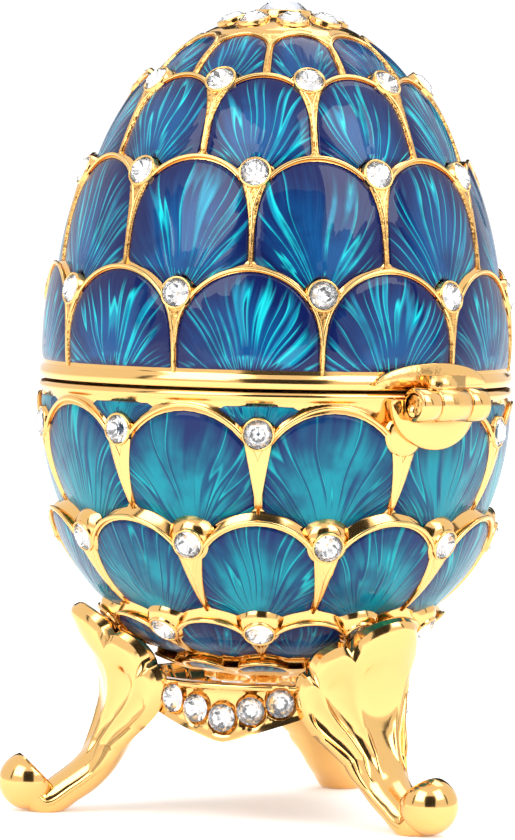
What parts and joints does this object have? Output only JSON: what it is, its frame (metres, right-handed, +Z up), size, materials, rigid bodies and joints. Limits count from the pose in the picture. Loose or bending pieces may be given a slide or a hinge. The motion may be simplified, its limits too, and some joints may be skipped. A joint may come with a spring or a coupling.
{
  "type": "egg trinket box",
  "caption": "Hinged egg-shaped trinket box of enamelled gilt metal, covered in scales with clear stones, cradled in a three-legged leaf stand.",
  "frame": {"origin": "middle of the footprint's bounding box, on the plane the feet stand on; the egg's axis stands 1.2 mm in front of it", "axes": "+Z up along the egg's axis, +Y to the back where the hinge and one leg are, +X to the right seen from the front"},
  "size_m": [0.042, 0.0448, 0.0702],
  "materials": {
    "enamel": "translucent blue and turquoise enamel over gilt relief, gloss",
    "gilt": "polished yellow gilt",
    "crystal": "clear faceted, foil backed",
    "jewel": "clear faceted with a slight blue tint"
  },
  "bodies": {
    "base": {"base_shell": "enamel", "base_hinge_leaf": "gilt", "hinge_pin": "gilt", "stand": "gilt", "apron_1_stone_1": "crystal", "apron_1_stone_2": "crystal", "apron_1_stone_3": "crystal", "apron_1_stone_4": "crystal", "apron_1_stone_5": "crystal", "apron_2_stone_1": "crystal", "apron_2_stone_2": "crystal", "apron_2_stone_3": "crystal", "apron_2_stone_4": "crystal", "apron_2_stone_5": "crystal", "apron_3_stone_1": "crystal", "apron_3_stone_2": "crystal", "apron_3_stone_3": "crystal", "apron_3_stone_4": "crystal", "apron_3_stone_5": "crystal"},
    "lid": {"lid_shell": "enamel", "lid_hinge_leaf": "gilt", "lid_row_1_stone_01": "crystal", "lid_row_1_stone_02": "crystal", "lid_row_1_stone_03": "crystal", "lid_row_1_stone_04": "crystal", "lid_row_1_stone_05": "crystal", "lid_row_1_stone_06": "crystal", "lid_row_1_stone_07": "crystal", "lid_row_1_stone_08": "crystal", "lid_row_1_stone_09": "crystal", "lid_row_1_stone_10": "crystal", "lid_row_2_stone_01": "crystal", "lid_row_2_stone_02": "crystal", "lid_row_2_stone_03": "crystal", "lid_row_2_stone_04": "crystal", "lid_row_2_stone_05": "crystal", "lid_row_2_stone_06": "crystal", "lid_row_2_stone_07": "crystal", "lid_row_2_stone_08": "crystal", "lid_row_2_stone_09": "crystal", "lid_row_2_stone_10": "crystal", "lid_row_3_stone_01": "crystal", "lid_row_3_stone_02": "crystal", "lid_row_3_stone_03": "crystal", "lid_row_3_stone_04": "crystal", "lid_row_3_stone_05": "crystal", "lid_row_3_stone_06": "crystal", "lid_row_3_stone_07": "crystal", "lid_row_3_stone_08": "crystal", "lid_row_3_stone_09": "crystal", "lid_row_3_stone_10": "crystal", "crown_stone_1": "crystal", "crown_stone_2": "crystal", "crown_stone_3": "crystal", "crown_stone_4": "crystal", "crown_stone_5": "crystal", "crown_stone_6": "crystal", "crown_stone_7": "crystal", "crown_stone_8": "crystal", "top_jewel": "jewel"}
  },
  "joints": [
    {"name": "lid_hinge", "type": "hinge", "parent": "base", "child": "lid", "pos_m": [0, 0.021, 0.03625], "axis": [-1, 0, 0], "range_deg": [0, 100]}
  ]
}
